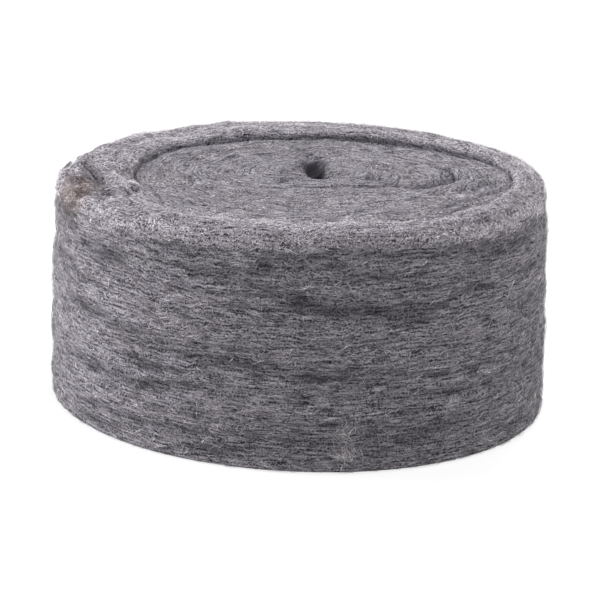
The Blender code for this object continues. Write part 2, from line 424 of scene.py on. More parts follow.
TOP_FORMS = Forms(
    (
        Crease(((0.0059, 0.0020), (0.0030, 0.0110), (0.0010, 0.0230)), 0.0074, 0.0060),
        Crease(((0.0010, 0.0230), (0.0012, 0.0350)), 0.0050, 0.0034),
        Crease(((-0.0010, 0.0400), (-0.0030, 0.0560)), 0.0060, 0.0014),
        Crease(((0.0070, 0.0050), (0.0180, 0.0045)), 0.0032, 0.0018),
        Crease(((-0.0115, -0.0110), (-0.0072, -0.0060)), 0.0036, 0.0024),
        Crease(((-0.0352, 0.0037), (-0.0224, 0.0067)), 0.0026, 0.0012),
        Crease(((0.0270, -0.0010), (0.0425, -0.0110), (0.0500, -0.0060), (0.0575, 0.0020)), 0.0075, 0.0025),
        Crease(((0.0595, -0.0185), (0.0656, -0.0130), (0.0721, -0.0075)), 0.0036, 0.0026),
        Crease(((0.0442, -0.0583), (0.0530, -0.0500), (0.0665, -0.0318), (0.0752, -0.0200)), 0.0024, 0.0012),
        Crease(((-0.0870, 0.0085), (-0.0831, -0.0023), (-0.0798, -0.0135)), 0.0027, 0.0032),
        Crease(((-0.0798, -0.0135), (-0.0717, -0.0276), (-0.0645, -0.0426)), 0.0025, 0.0026),
        Crease(((-0.0811, 0.0080), (-0.0747, -0.0130), (-0.0640, -0.0350)), 0.0036, -0.0028),
        Crease(((-0.0760, 0.0148), (-0.0700, -0.0016), (-0.0626, -0.0174)), 0.0024, 0.0012),
        Crease(((-0.0860, 0.0050), (-0.0820, -0.0200), (-0.0740, -0.0420)), 0.0130, 0.0016),
        Crease(((-0.0880, -0.0200), (-0.0850, -0.0400)), 0.0070, 0.0016),
        Crease(((-0.0665, -0.0463), (-0.0629, -0.0600)), 0.0026, 0.0012),
    )
)
WALL_FORMS = Forms(
    (
        Crease(((-0.0830, 0.0690), (-0.0600, 0.0735)), 0.0040, 0.0013),
        Crease(((-0.0534, 0.0738), (-0.0252, 0.0714), (0.0003, 0.0660)), 0.0036, 0.0012),
        Crease(((-0.0237, 0.0664), (-0.0116, 0.0657), (0.0003, 0.0646)), 0.0020, 0.0012),
        Crease(((-0.0120, 0.0785), (0.0150, 0.0795)), 0.0050, 0.0010),
        Crease(((-0.0060, 0.0805), (0.0110, 0.0815)), 0.0020, 0.0014),
        Crease(((-0.0165, 0.0757), (0.0168, 0.0772)), 0.0020, 0.0013),
        Crease(((0.0166, 0.0815), (0.0538, 0.0790), (0.1080, 0.0745)), 0.0046, 0.0010),
        Crease(((0.0010, 0.0622), (0.0265, 0.0600), (0.0530, 0.0566)), 0.0064, 0.0018),
        Crease(((-0.0590, 0.0259), (-0.0335, 0.0300)), 0.0017, 0.0017),
        Crease(((-0.0604, 0.0292), (-0.0232, 0.0340), (-0.0037, 0.0322), (0.0180, 0.0349)), 0.0017, -0.0010),
        Crease(((-0.0136, 0.0358), (0.0179, 0.0372)), 0.0016, 0.0014),
        Crease(((0.0008, 0.0430), (0.0116, 0.0395), (0.0240, 0.0431)), 0.0015, -0.0010),
        Crease(((-0.0336, 0.0384), (-0.0232, 0.0387)), 0.0015, 0.0013),
        Crease(((0.0482, 0.0280), (0.0631, 0.0274)), 0.0017, 0.0013),
        Crease(((0.0206, 0.0328), (0.0382, 0.0336)), 0.0015, 0.0012),
        Crease(((0.0100, 0.0186), (0.0158, 0.0186)), 0.0028, 0.0009),
        Crease(((0.0186, 0.0128), (0.0226, 0.0050)), 0.0050, -0.0012),
        Crease(((-0.1120, 0.0694), (-0.0963, 0.0720)), 0.0026, 0.0013),
    )
)


# The middle and the reach of three small places, in metres: the rust on the fold, a frayed tuft low on
# the front, and the open core
STAIN_SPOT = (-0.0865, -0.0290, 0.0850), (0.0085, 0.0190, 0.0085)
TUFT_SPOT = (0.0185, -0.0930, 0.0110), (0.0040, 0.0100, 0.0080)
CORE_SPOT = (0.0028, 0.0215), (0.0054, 0.0140)

FELT_LUMPS = Ripple(0.00070, 0.0130, 0.0110, 52), Ripple(0.00035, 0.0070, 0.0060, 53)
FELT_DEPTH = 0.070, 0.016  # the height that the lumps start at, and over which they grow


def off_middle(points: np.ndarray, spot: tuple[tuple[float, ...], tuple[float, ...]]) -> np.ndarray:
    """How far each point is from the middle of a spot, where 1 is its reach."""
    return np.linalg.norm((points - np.array(spot[0])) / np.array(spot[1]), axis=-1)


def top_lumps(points: np.ndarray) -> np.ndarray:
    """The uneven felt on top.

    Args:
        points: Places with x, y, z in the last axis.

    Returns:
        The height that two sizes of soft lumps add, in metres, on the upper 2 cm only.
    """
    x, y = points[..., 0], points[..., 1]
    lumps = sum(ripple.at(x, y) for ripple in FELT_LUMPS)
    return lumps * smooth((points[..., 2] - FELT_DEPTH[0]) / FELT_DEPTH[1])


def core_shade(points: np.ndarray) -> np.ndarray:
    """Painted shade: 1 in the open core, which little light reaches, falling to 0 at its edge."""
    return smooth((1.15 - off_middle(points[..., :2], CORE_SPOT)) / 0.45)


def deepest(points: np.ndarray, *grooves: np.ndarray) -> np.ndarray:
    """How much painted shade each place on top takes, by how deep in the wool it lies.

    Args:
        points: Places with x, y, z in the last axis.
        grooves: The painted shade that the grooves beside each place give.

    Returns:
        The most of the forms' painted shade, the core's and the grooves', lowered by painted light on a
        ridge.
    """
    on_top = TOP_FORMS.shade(points[..., :2])
    return np.max([on_top, core_shade(points), *grooves], axis=0) + np.minimum(on_top, 0)


def settled(winding: Winding, points: np.ndarray) -> np.ndarray:
    """The points after the wind leans, and its top takes its hollows, ridges and lumps.

    Args:
        winding: The ribbon's shape.
        points: Places with x, y, z in the last axis.

    Returns:
        The leaning points, with their height times 1 plus the forms' rise as a share of the width.
    """
    placed = winding.leaning(points)
    rise = TOP_FORMS.rise(placed[..., :2]) + top_lumps(placed)
    placed[..., 2] *= 1 + rise / winding.ribbon_width
    return placed


@dataclass(frozen=True)
class OutlineSteps:
    """How many steps each stretch of the ribbon's section is divided into."""

    foot: int = 3
    wall: int = 54
    rim: int = 10
    top: int = 10
    edge: int = 5
    inside: int = 4
    heel: int = 2
    bottom: int = 5


class Ground:
    """A grid of points on the wool that fibres lie on. Its columns go round, and its rows have ends.
    Its shade is painted shade on the wool's colour: 1 deep in the hollows, 0 on the open wool, and a
    little below 0, painted light, on a ridge."""

    points: np.ndarray
    normal: np.ndarray
    step_along: np.ndarray
    step_around: np.ndarray
    along: np.ndarray
    around: np.ndarray
    shade: np.ndarray

    LEAST_STEP = 0.0002  # metres, so that a place on a tiny cell doesn't jump

    def measure(self) -> None:
        """Works out the normals and the steps of the finished grid."""
        self.normal = self.normals(self.points)
        self.step_along, self.step_around = self.gradients(self.points)

    def gradients(self, points: np.ndarray) -> Pair:
        """How far a point moves for one row and for one column, as vectors."""
        columns = (np.roll(points, -1, 1) - np.roll(points, 1, 1)) / 2
        return np.gradient(points, axis=0), columns

    def normals(self, points: np.ndarray) -> np.ndarray:
        """The outward direction at each point: the column step crossed with the row step."""
        rows, columns = self.gradients(points)
        return unit(np.cross(columns, rows))

    def sample(self, values: np.ndarray, row: np.ndarray, column: np.ndarray) -> np.ndarray:
        """The grid's values between its points, by a straight blend of the four nearest.

        Args:
            values: One row of numbers for each grid point.
            row: Row numbers, with fractions.
            column: Column numbers, with fractions. They go round.

        Returns:
            The blended values, in the shape of row and column, with the values' last axis.
        """
        rows, columns = values.shape[:2]
        row = np.clip(row, 0, rows - 1.001)
        r, c = np.floor(row).astype(int), np.floor(column).astype(int)
        fr, fc = (row - r)[..., None], (column - c)[..., None]
        c, d = c % columns, (c + 1) % columns
        low = values[r, c] * (1 - fc) + values[r, d] * fc
        high = values[r + 1, c] * (1 - fc) + values[r + 1, d] * fc
        return low * (1 - fr) + high * fr

    def moved(self, row: np.ndarray, column: np.ndarray, along: np.ndarray, around: np.ndarray) -> Pair:
        """Takes places on the grid a short way over the surface.

        Args:
            row: Row numbers, with fractions.
            column: Column numbers, with fractions.
            along: How far they move across the rows, in metres.
            around: How far they move across the columns, in metres.

        Returns:
            The new row and column numbers: the way divided by the length of one step there.
        """
        row_size = np.linalg.norm(self.sample(self.step_along, row, column), axis=-1)
        column_size = np.linalg.norm(self.sample(self.step_around, row, column), axis=-1)
        row = np.clip(row + along / np.maximum(row_size, self.LEAST_STEP), 0.0, self.points.shape[0] - 1.01)
        return row, column + around / np.maximum(column_size, self.LEAST_STEP)

    def zone_weight(self, zone: Zone) -> np.ndarray:
        """How much each grid cell takes part in a zone, from 0 to 1."""
        raise NotImplementedError


@dataclass
class Surface(Ground):
    """A fine grid over the whole ribbon: rows run along it, and columns run around its section.

    Args:
        winding: The ribbon's shape.
        steps: How finely the section is divided.
        last_turn_step: Length of a row's step on the last turn, in metres.
        inner_step: The same on the turns inside it.
        sharpest_step: The most that a row's step turns, in radians.
        inset: How far the wool stays inside the plain ribbon, so that its fibres end up level with it.
    """

    winding: Winding = field(default_factory=Winding)
    steps: OutlineSteps = field(default_factory=OutlineSteps)
    inset: float = 0.0006
    last_turn_step: float = 0.0013
    inner_step: float = 0.0034
    sharpest_step: float = math.radians(9)

    WANDER = Ripple(0.0030, 0.060, 0.020, 7)
    LUMPS = Ripple(0.00040, 0.060, 0.022, 1)
    BUNDLES = Ripple(0.00060, 0.032, 0.0036, 2)
    STREAKS = Ripple(0.00034, 0.013, 0.0015, 3)
    STREAK_DEPTH = 0.0009  # of a streak whose painted shade is fully dark, in metres
    STREAK_SHADE = 0.55, 0.2  # how dark the painted shade in a streak is on the wall, and on the rest
    SHADE_LIMITS = -0.4, 1.0
    GROOVE_REACH = 0.0011, 0.0012  # how far from a groove its painted shade reaches, outside and inside it
    GROOVE_SHADE = 0.2, 0.8  # painted shade in all grooves, and how much more at the back on the right
    LIT_RIM = 0.4, 0.0810, 0.0040  # painted light: how much lighter the wall's top is, from what height, and over which
    SHADED_TOP = 0.070, 0.010  # the height that the top's painted shade starts at, and over which it grows

    def __post_init__(self) -> None:
        """Lays the grid, presses the wool's relief into it and measures it."""
        self.turn = self.rows()
        plain = self.grid()
        self.along = self.running(plain)
        self.around = self.perimeter(plain)
        relief = self.relief(plain)
        on_wall = np.arange(plain.shape[1]) < self.stretches()["rim"].start
        # Painted shade in the low streaks and between the bundles of the relief.
        streaks = np.where(on_wall, *self.STREAK_SHADE) * smooth(-relief / self.STREAK_DEPTH)
        self.shade = np.clip(self.shade + streaks, *self.SHADE_LIMITS)
        self.points = plain + self.outwards(plain) * (relief - self.tucked(plain))[..., None]
        self.points[..., 2] = np.where(plain[..., 2] < 1e-6, 0.0, np.maximum(self.points[..., 2], 0.0))
        self.measure()

    def rows(self) -> np.ndarray:
        """Where the rows stand along the ribbon.

        Returns:
            Numbers of turns, evenly spaced by length on the last turn, and wider on the turns inside
            it, with no step that turns more than the sharpest one.
        """
        turns = self.winding.turns
        fine = np.linspace(0, turns, 20001)
        outer, _ = self.winding.outer_face(fine)
        radius = np.maximum(np.linalg.norm(outer, axis=-1), 0.004)
        length = np.where(fine > turns - 1.03, self.last_turn_step, self.inner_step)
        step = np.minimum(length / radius, self.sharpest_step) / FULL_TURN
        count = np.concatenate([[0], np.cumsum(np.diff(fine) / step[1:])])
        return np.interp(np.linspace(0, count[-1], int(count[-1]) + 1), count, fine)

    def stretches(self) -> dict[str, slice]:
        """The columns of each stretch of the section.

        Returns:
            Slices by the stretch's name. A rounded stretch has its two ends, and a straight one none.
        """
        found, start = {}, 0
        for name in ("foot", "wall", "rim", "top", "edge", "inside", "heel", "bottom"):
            size = getattr(self.steps, name) + (1 if name in ("foot", "rim", "edge", "heel") else -1)
            found[name] = slice(start, start + size)
            start += size
        return found

    def grid(self) -> np.ndarray:
        """The plain ribbon: its section at each row, set between the row's inner and outer points.

        Returns:
            An array of rows, columns and x, y, z. It also sets the painted shade.
        """
        w, turn = self.winding, self.turn
        inner = w.boundary(turn)
        outer, wall_share = w.outer_face(turn)
        span = np.linalg.norm(outer - inner, axis=-1)
        towards = (outer - inner) / span[:, None]
        thick = span - w.turn_gap / 2 - w.turn_gap / 2 * (1 - wall_share)
        across, z, high = self.section(thick, (inner + outer) / 2, outer)
        to_right = w.roll_radius * np.arctan2(outer[:, 0], -outer[:, 1])[:, None] * np.ones(z.shape)
        on_wall = np.stack([to_right, z], -1)
        up = z / high[:, None]
        swell = w.foot_flare * (1 - up) + w.wall_bulge * np.sin(math.pi * up) + WALL_FORMS.rise(on_wall)
        across = across + wall_share[:, None] * swell * across / thick[:, None]
        reach = across + w.turn_gap / 2
        xy = inner[:, None, :] + towards[:, None, :] * reach[..., None]
        placed = settled(w, np.concatenate([xy, z[..., None]], -1))
        # Painted light on the wall's top, and the wall forms' painted shade in troughs and painted light on
        # ridges.
        lit = self.LIT_RIM[0] * smooth((z - self.LIT_RIM[1]) / self.LIT_RIM[2])
        outer_side = smooth((across / thick[:, None] - 0.8) / 0.1)
        wall_shade = (WALL_FORMS.shade(on_wall) - lit) * wall_share[:, None] * outer_side
        self.shade = wall_shade + self.top_shade(placed, across, thick, wall_share)
        return placed

    def section(self, thick: np.ndarray, middle: np.ndarray, outer: np.ndarray) -> tuple[np.ndarray, ...]:
        """The ribbon's section: a quarter of an ellipse at each edge, and straight stretches between.

        Args:
            thick: The ribbon's thickness at each row.
            middle: The points (x, y) halfway between its faces.
            outer: The points (x, y) on its outer face.

        Returns:
            How far across from the inner face and how high, with rows and columns, and the height of
            each row's top edge. A thin end lies against the rounded rim, so it is lower.
        """
        w, turn, steps = self.winding, self.turn, self.steps
        rounding = smooth(1 + w.past_tail(turn) / w.rim_rounding_blend)
        to_rim = w.rim_radius - np.minimum(w.thin_end_share * thick, w.rim_radius)
        lowered = rounding * (w.rim_radius - np.sqrt(w.rim_radius**2 - to_rim**2))
        high = w.top_height(turn, middle[:, 0], middle[:, 1]) - lowered
        foot = np.minimum(w.foot_radius, w.foot_most * thick)
        edge_drop, drop_out = (w.edge_drop * w.groove_share(t) for t in (turn, turn + 1))
        edge = np.minimum(w.edge_reach, w.edge_most * thick)
        wanted = w.edge_reach + (w.rim_radius - w.edge_reach) * rounding
        rim = np.minimum(wanted, 2 * w.edge_most * thick - edge)
        rim_drop = drop_out + (w.rim_radius - drop_out) * rounding - lowered

        def corner(
            x: np.ndarray, z: np.ndarray, reach: np.ndarray, rise: np.ndarray, start: float, count: int
        ) -> Pair:
            """A quarter of an ellipse about (x, z) from the angle start onwards."""
            angle = start + math.pi / 2 * np.arange(count + 1) / count
            return x[:, None] + reach[:, None] * np.cos(angle), z[:, None] + rise[:, None] * np.sin(angle)

        def lip(x: np.ndarray, z: np.ndarray, reach: np.ndarray, rise: np.ndarray, count: int) -> Pair:
            """The rim: a quarter of an ellipse, nearer to a bevel at the front of the roll."""
            angle = math.pi / 2 * np.arange(count + 1) / count
            power = (1 + 0.4 * rounding * smooth((0.2 - outer[:, 1] / w.roll_radius) / 0.6))[:, None]
            wide, tall = np.cos(angle) ** power, np.sin(angle) ** power
            return x[:, None] + reach[:, None] * wide, z[:, None] + rise[:, None] * tall

        def straight(x0: np.ndarray, z0: np.ndarray, x1: np.ndarray, z1: np.ndarray, count: int) -> Pair:
            """The points between two ends, without the ends."""
            t = np.arange(1, count) / count
            return x0[:, None] + (x1 - x0)[:, None] * t, z0[:, None] + (z1 - z0)[:, None] * t

        zero = np.zeros_like(thick)
        parts = [
            corner(thick - foot, foot, foot, foot, -math.pi / 2, steps.foot),
            straight(thick, foot, thick, high - rim_drop, steps.wall),
            lip(thick - rim, high - rim_drop, rim, rim_drop, steps.rim),
            straight(thick - rim, high, edge, high, steps.top),
            corner(edge, high - edge_drop, edge, edge_drop, math.pi / 2, steps.edge),
            straight(zero, high - edge_drop, zero, foot, steps.inside),
            corner(foot, foot, foot, foot, math.pi, steps.heel),
            straight(foot, zero, thick - foot, zero, steps.bottom),
        ]
        across = np.concatenate([part[0] for part in parts], 1)
        z = np.concatenate([part[1] for part in parts], 1)
        return across, z, high

    def top_shade(
        self, placed: np.ndarray, across: np.ndarray, thick: np.ndarray, wall_share: np.ndarray
    ) -> np.ndarray:
        """How much painted shade each place near the top takes, by how deep in the wool it lies.

        Args:
            placed: The plain ribbon's grid.
            across: How far each of its points is from the ribbon's inner face.
            thick: The ribbon's thickness at each row.
            wall_share: How much of each row's outer side is the roll's wall.

        Returns:
            The painted shade of the deepest of its hollows and grooves, fading to 0 down the ribbon's sides.
        """
        outside, inside = self.GROOVE_REACH
        below = self.groove_shade(self.turn)[:, None] * smooth(1 - across / outside)
        beyond = self.groove_shade(self.turn + 1)[:, None] * smooth(1 - (thick[:, None] - across) / inside)
        beyond = beyond * (1 - wall_share[:, None])
        near_top = smooth((placed[..., 2] - self.SHADED_TOP[0]) / self.SHADED_TOP[1])
        return deepest(placed, below, beyond) * near_top

    def groove_shade(self, turn: np.ndarray) -> np.ndarray:
        """The painted shade of the groove below each turn, from 0 to 1: most at the back on the right."""
        behind = smooth((np.cos(self.winding.angle(turn) - math.radians(40)) - 0.5) / 0.35)
        opened = self.winding.groove_share(turn) - self.winding.felted_groove
        return opened * (self.GROOVE_SHADE[0] + self.GROOVE_SHADE[1] * behind)

    def outwards(self, plain: np.ndarray) -> np.ndarray:
        """The way that the relief stands out.

        Args:
            plain: The plain ribbon's grid.

        Returns:
            The normals on the wall and the rim, and only their part that points up elsewhere.
        """
        last = smooth(1 + self.winding.past_tail(self.turn) / self.winding.rim_rounding_blend)[:, None, None]
        outer_side = np.zeros((1, plain.shape[1], 1))
        outer_side[:, : self.stretches()["top"].start] = 1
        normal = self.normals(plain)
        up = np.zeros_like(normal)
        up[..., 2] = np.maximum(normal[..., 2], 0)
        return up + (normal - up) * last * outer_side

    def running(self, points: np.ndarray) -> np.ndarray:
        """The length along the ribbon's outer top edge at each row, in metres."""
        line = points[:, self.stretches()["rim"].start]
        lengths = np.linalg.norm(np.diff(line, axis=0), axis=-1)
        return np.concatenate([[0], np.cumsum(lengths)])[:, None] * np.ones(points.shape[1])

    def perimeter(self, points: np.ndarray) -> np.ndarray:
        """The length around the section from the outer foot at each column, in metres."""
        lengths = np.linalg.norm(np.diff(points, axis=1), axis=-1)
        return np.concatenate([np.zeros((len(points), 1)), np.cumsum(lengths, 1)], 1)

    def relief(self, plain: np.ndarray) -> np.ndarray:
        """How far the wool stands out from the plain ribbon, in metres.

        Args:
            plain: The plain ribbon's grid.

        Returns:
            A sum of long, low noises: lumps of the whole wind, bundles of fibres and fine streaks. It
            fades to nothing on the underside and where turns press on each other.
        """
        x, p, z = self.along, self.around, plain[..., 2]
        where, last = self.stretches(), self.winding.past_tail(self.turn)[:, None] > 0
        wandering = p + self.WANDER.at(x, p)
        wool = self.LUMPS.at(x, p) + self.BUNDLES.at(x, wandering) + self.STREAKS.at(x, wandering)
        ends = smooth((self.turn - self.turn[0]) / 0.05) * smooth((self.turn[-1] - self.turn) / 0.01)
        seen = np.ones(z.shape)
        seen[:, : where["rim"].start] = last
        seen[:, where["inside"].start :] = smooth((z[:, where["inside"].start :] - 0.0845) / 0.002)
        return wool * self.off_floor(plain) * ends[:, None] * seen

    def off_floor(self, plain: np.ndarray) -> np.ndarray:
        """0 on the underside, rising to 1 over the lowest 4 mm of the wall."""
        return smooth((plain[..., 2] - 0.0005) / 0.004)

    def tucked(self, plain: np.ndarray) -> np.ndarray:
        """How far the wool lies inside the plain ribbon, so that the fibres on it come out level.

        Args:
            plain: The plain ribbon's grid.

        Returns:
            The inset on the last turn's wall and the rim's start, in metres, and 0 elsewhere.
        """
        where = self.stretches()
        wall = np.zeros(plain.shape[1])
        wall[where["foot"].start : where["rim"].start + 4] = self.inset
        last = self.winding.past_tail(self.turn)[:, None] > 0
        return wall * last * self.off_floor(plain)

    def zone_weight(self, zone: Zone) -> np.ndarray:
        """How much each grid cell takes part in a zone, from 0 to 1.

        Args:
            zone: Which part of the roll.

        Returns:
            An array of rows and columns. The wall and the rim belong to the last turn, the top to
            every turn. The tail is the stained fold on the left, and the tuft is low on the front.
        """
        columns = np.zeros(self.points.shape[1])
        where = self.stretches()
        past = self.winding.past_tail(self.turn)[:, None]
        if zone is Zone.WALL:
            columns[where["foot"].start + 2 : where["rim"].start + 3] = 1
            return (past > 0) * columns
        if zone is Zone.UNDERSIDE:
            columns[where["bottom"]] = 1
            columns[where["foot"].start : where["foot"].start + 2] = 1
            return np.ones(self.turn.shape)[:, None] * columns
        columns[where["rim"].start + 1 : where["edge"].stop - 2] = 1
        rim = (past > -self.winding.rim_blend) * columns
        if zone is Zone.RIM:
            return rim
        away = off_middle(self.points, STAIN_SPOT if zone is Zone.TAIL else TUFT_SPOT)
        return (rim + self.zone_weight(Zone.WALL)) * smooth(1.6 - 1.3 * away)


@dataclass
class TopSkin(Ground):
    """The felted skin over the inner turns: rings of points from the core to the last turn's groove.

    Args:
        winding: The ribbon's shape.
        rings: How many rings.
        spokes: How many points in a ring.
        hole: Radius of the innermost ring, in metres.
        lift: How far the skin lies over the plain turns.
        clear: How far it stays off the last turn's groove.
        groove_shade: How much painted shade it takes beside that groove where it is open.
        round_length: Length that stands for a radian round the rings, in metres.
    """

    winding: Winding = field(default_factory=Winding)
    rings: int = 60
    spokes: int = 360
    hole: float = 0.002
    lift: float = 0.0004
    clear: float = 0.0012
    groove_shade: float = 0.6
    round_length: float = 0.05

    def __post_init__(self) -> None:
        """Lays the rings and lifts them to the wool's height."""
        w = self.winding
        angle = FULL_TURN * np.arange(self.spokes) / self.spokes
        behind = (angle - w.tail_end_angle) % FULL_TURN
        turn = w.turns - behind / FULL_TURN - (behind < w.rim_blend)
        edge = w.boundary(turn)
        actual = np.arctan2(edge[:, 1], edge[:, 0]) % FULL_TURN
        order = np.argsort(actual)

        def at_spokes(values: np.ndarray) -> np.ndarray:
            """The values along the groove, read off at each spoke's angle."""
            return np.interp(angle, actual[order], values[order], period=FULL_TURN)

        reach = at_spokes(np.linalg.norm(edge, axis=-1)) - self.clear
        radius = self.hole + (reach - self.hole) * (np.arange(self.rings) / (self.rings - 1))[:, None]
        x, y = radius * np.cos(angle), radius * np.sin(angle)
        self.points = settled(w, np.stack([x, y, w.inner_height(x, y) + self.lift], -1))
        opened = w.groove_share(at_spokes(turn)) - w.felted_groove
        beside = smooth(1 - (reach - radius) / self.clear) * self.groove_shade * opened
        self.shade = deepest(self.points, beside)
        self.along = radius
        self.around = np.broadcast_to(angle * self.round_length, radius.shape)
        self.measure()

    def zone_weight(self, zone: Zone) -> np.ndarray:
        """1 nearly everywhere, but few fibres cross the open core."""
        return 1 - 0.85 * core_shade(self.points)


def links(tree: bpy.types.NodeTree, *pairs: tuple[bpy.types.NodeSocket, bpy.types.NodeSocket]) -> None:
    """Joins each output socket to its input socket."""
    for source, target in pairs:
        tree.links.new(source, target)


def add_node(tree: bpy.types.NodeTree, kind: str, values: dict, **settings: object) -> bpy.types.Node:
    """Adds a shader node to a material, a group or the world.

    Args:
        tree: What it is added to.
        kind: Its type.
        values: What its inputs hold where nothing is linked, by the input's name or number.
        settings: Its own settings, by name.

    Returns:
        The node.
    """
    made = tree.nodes.new(kind)
    for name, value in settings.items():
        setattr(made, name, value)
    for socket, value in values.items():
        made.inputs[socket].default_value = value
    return made


def new_material(name: str, values: dict) -> tuple[bpy.types.Material, bpy.types.NodeTree, bpy.types.Node]:
    """Makes a material of one Principled shader.

    Args:
        name: The material's name.
        values: What the shader's inputs hold, by name.

    Returns:
        The material, its nodes' tree and the shader.
    """
    made = bpy.data.materials.new(name)
    made.use_nodes = True
    shader = made.node_tree.nodes["Principled BSDF"]
    for socket, value in values.items():
        shader.inputs[socket].default_value = value
    return made, made.node_tree, shader


def shade_group() -> bpy.types.NodeTree:
    """The fibre shade: each fibre's own grey, from dark to bright, with a slow change along it.

    Returns:
        A group with the inputs Place, Dark, Light and Mottle, and the output Color. Place is the
        fibre's map: its length runs along x and its own shade along y.
    """
    group = bpy.data.node_groups.new("fibre_shade", "ShaderNodeTree")
    group.interface.new_socket("Place", in_out="INPUT", socket_type="NodeSocketVector")
    for name, grey in (("Dark", 0.1), ("Light", 0.5)):
        socket = group.interface.new_socket(name, in_out="INPUT", socket_type="NodeSocketColor")
        socket.default_value = (grey, grey, grey, 1)
    mottle = group.interface.new_socket("Mottle", in_out="INPUT", socket_type="NodeSocketFloat")
    mottle.default_value = 0.3
    group.interface.new_socket("Color", in_out="OUTPUT", socket_type="NodeSocketColor")
    given, put = group.nodes.new("NodeGroupInput"), group.nodes.new("NodeGroupOutput")
    split = add_node(group, "ShaderNodeSeparateXYZ", {})
    noise = add_node(group, "ShaderNodeTexNoise", {"Scale": 9.0, "Detail": 1.0})
    centred = add_node(group, "ShaderNodeMath", {1: 0.5}, operation="SUBTRACT")
    scaled = add_node(group, "ShaderNodeMath", {}, operation="MULTIPLY")
    total = add_node(group, "ShaderNodeMath", {}, operation="ADD", use_clamp=True)
    mix = add_node(group, "ShaderNodeMix", {}, data_type="RGBA")
    links(
        group,
        (given.outputs["Place"], split.inputs[0]),
        (given.outputs["Place"], noise.inputs["Vector"]),
        (noise.outputs["Fac"], centred.inputs[0]),
        (centred.outputs[0], scaled.inputs[0]),
        (given.outputs["Mottle"], scaled.inputs[1]),
        (split.outputs["Y"], total.inputs[0]),
        (scaled.outputs[0], total.inputs[1]),
        (total.outputs[0], mix.inputs["Factor"]),
        (given.outputs["Dark"], mix.inputs["A"]),
        (given.outputs["Light"], mix.inputs["B"]),
        (mix.outputs["Result"], put.inputs["Color"]),
    )
    return group


@dataclass(frozen=True)
class FibreFinish:
    """Bright drawn steel, a little different on every fibre.

    Args:
        name: The material's name.
        dark: Colour of the dullest fibre.
        light: Colour of the brightest fibre.
        roughness: How dull the reflection is.
        metallic: How much of the look is metal.
    """

    name: str = "steel_fibre"
    dark: Triple = (0.050, 0.046, 0.051)
    light: Triple = (0.74, 0.70, 0.74)
    roughness: float = 0.44
    metallic: float = 0.7

    def material(self) -> bpy.types.Material:
        """Makes the material.

        Returns:
            A material whose colour is the fibre shade at the fibre's own map.
        """
        made, tree, shader = new_material(self.name, {"Roughness": self.roughness, "Metallic": self.metallic})
        place = add_node(tree, "ShaderNodeUVMap", {}, uv_map=BAKE_MAP)
        shade = tree.nodes.new("ShaderNodeGroup")
        shade.node_tree = bpy.data.node_groups.get("fibre_shade") or shade_group()
        shade.inputs["Dark"].default_value = (*self.dark, 1)
        shade.inputs["Light"].default_value = (*self.light, 1)
        links(
            tree,
            (place.outputs["UV"], shade.inputs["Place"]),
            (shade.outputs["Color"], shader.inputs["Base Color"]),
        )
        return made


